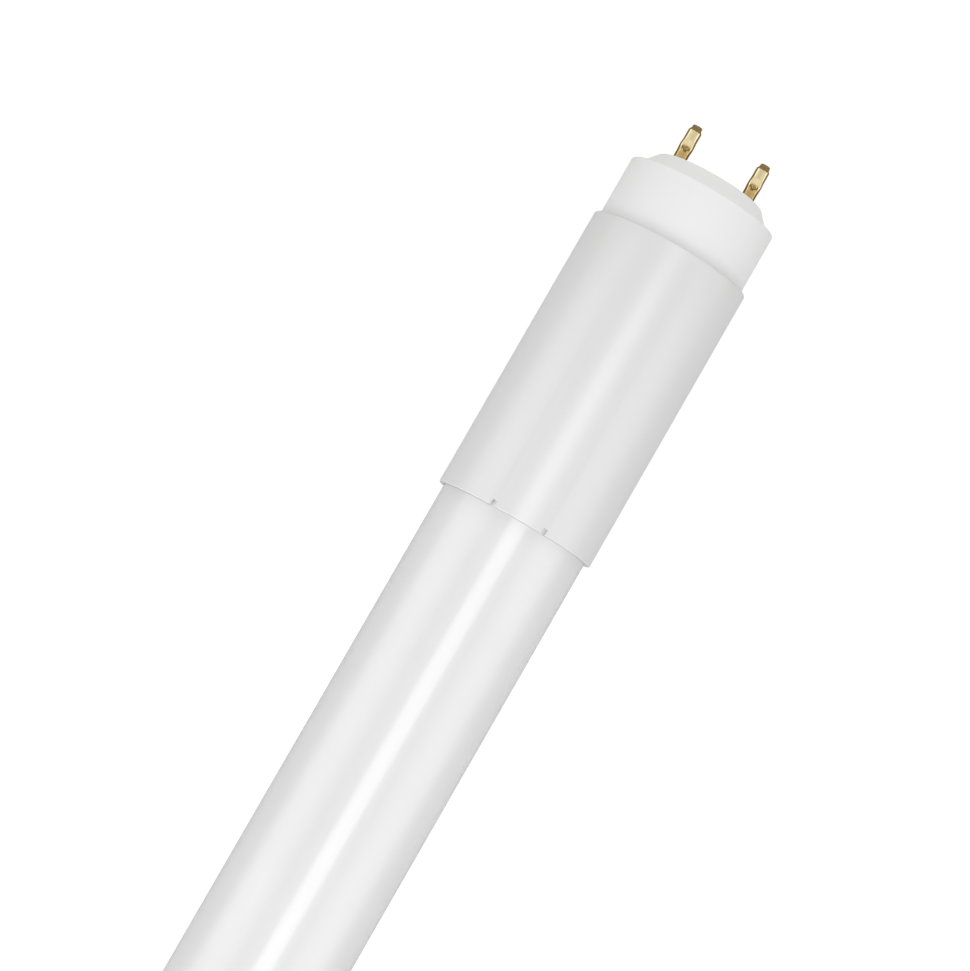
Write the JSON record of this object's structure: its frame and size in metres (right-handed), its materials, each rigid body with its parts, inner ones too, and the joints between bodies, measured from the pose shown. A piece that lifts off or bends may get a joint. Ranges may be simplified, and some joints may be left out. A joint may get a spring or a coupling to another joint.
{
  "type": "led tube",
  "caption": "Straight glass LED tube lamp with opal glass, white plastic end sleeves, moulded bi-pin caps and crimped brass pins, with its driver and light strip inside.",
  "frame": {"origin": "middle of the lamp, on the axis of the glass", "axes": "+X along the lamp towards the driver end, +Z the way the light strip shines, Y along the line between the pins of each cap"},
  "size_m": [0.6038, 0.0278, 0.0278],
  "materials": {
    "opal_glass": "polished glass, opal white inside",
    "sleeve_plastic": "white polycarbonate, satin",
    "cap_plastic": "white moulded PBT, matt",
    "pin_brass": "drawn and crimped, bright",
    "strip_aluminium": "white lacquered",
    "led_package": "white frame with yellow phosphor",
    "silicone_adhesive": "cured, satin",
    "circuit_board": "glass-fibre laminate",
    "insulation_film": "milky polyester film",
    "resistor_coat": "cement coat",
    "chip_resin": "moulded epoxy",
    "film_capacitor_case": "moulded box",
    "can_aluminium": "drawn can",
    "ferrite": "sintered",
    "winding_tape": "tape over enamelled wire",
    "live_insulation": "extruded",
    "neutral_insulation": "extruded",
    "positive_insulation": "extruded",
    "negative_insulation": "extruded",
    "bridge_insulation": "extruded",
    "fuse_ceramic": "ceramic tube"
  },
  "bodies": {
    "root": {"opal_tube": "opal_glass", "driver_end_sleeve": "sleeve_plastic", "far_end_sleeve": "sleeve_plastic", "driver_end_cap": "cap_plastic", "far_end_cap": "cap_plastic", "driver_end_pin_left": "pin_brass", "driver_end_pin_right": "pin_brass", "far_end_pin_left": "pin_brass", "far_end_pin_right": "pin_brass", "driver_end_glue": "silicone_adhesive", "far_end_glue": "silicone_adhesive", "led_strip_board": "strip_aluminium", "led_packages": "led_package", "strip_adhesive": "silicone_adhesive", "driver_board": "circuit_board", "driver_insulation": "insulation_film", "fuse_resistor": "resistor_coat", "bridge_rectifier": "chip_resin", "film_capacitor": "film_capacitor_case", "bulk_capacitor": "can_aluminium", "output_capacitor": "can_aluminium", "controller_chip": "chip_resin", "transformer_core": "ferrite", "transformer_winding": "winding_tape", "live_wire": "live_insulation", "neutral_wire": "neutral_insulation", "strip_positive_lead": "positive_insulation", "strip_negative_lead": "negative_insulation", "far_end_fuse": "fuse_ceramic", "far_end_wire_left": "bridge_insulation", "far_end_wire_right": "bridge_insulation"}
  },
  "joints": []
}
